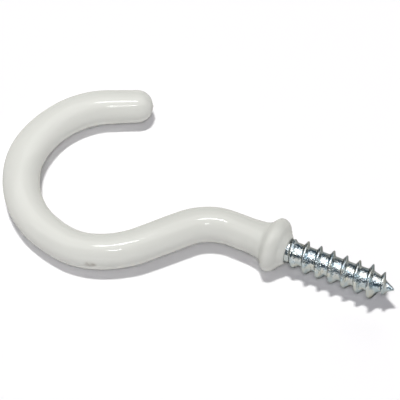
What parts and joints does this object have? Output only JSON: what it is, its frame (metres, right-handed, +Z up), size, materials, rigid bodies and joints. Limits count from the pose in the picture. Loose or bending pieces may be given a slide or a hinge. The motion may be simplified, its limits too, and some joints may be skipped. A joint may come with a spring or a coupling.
{
  "type": "screw hook",
  "caption": "Screw hook: zinc-plated steel wire hook with a wood-screw thread and collar, dipped in white vinyl.",
  "frame": {"origin": "middle of the hook's outline, on the surface that the hook lies on", "axes": "+X along the screw towards its point, +Y the side that the hook's tip is on, +Z up from the surface"},
  "size_m": [0.0548, 0.028, 0.0069],
  "materials": {
    "zinc_steel": "bright zinc plating on cold-rolled steel",
    "white_vinyl": "glossy dipped vinyl"
  },
  "bodies": {
    "root": {"steel_hook": "zinc_steel", "plastic_coat": "white_vinyl"}
  },
  "joints": []
}
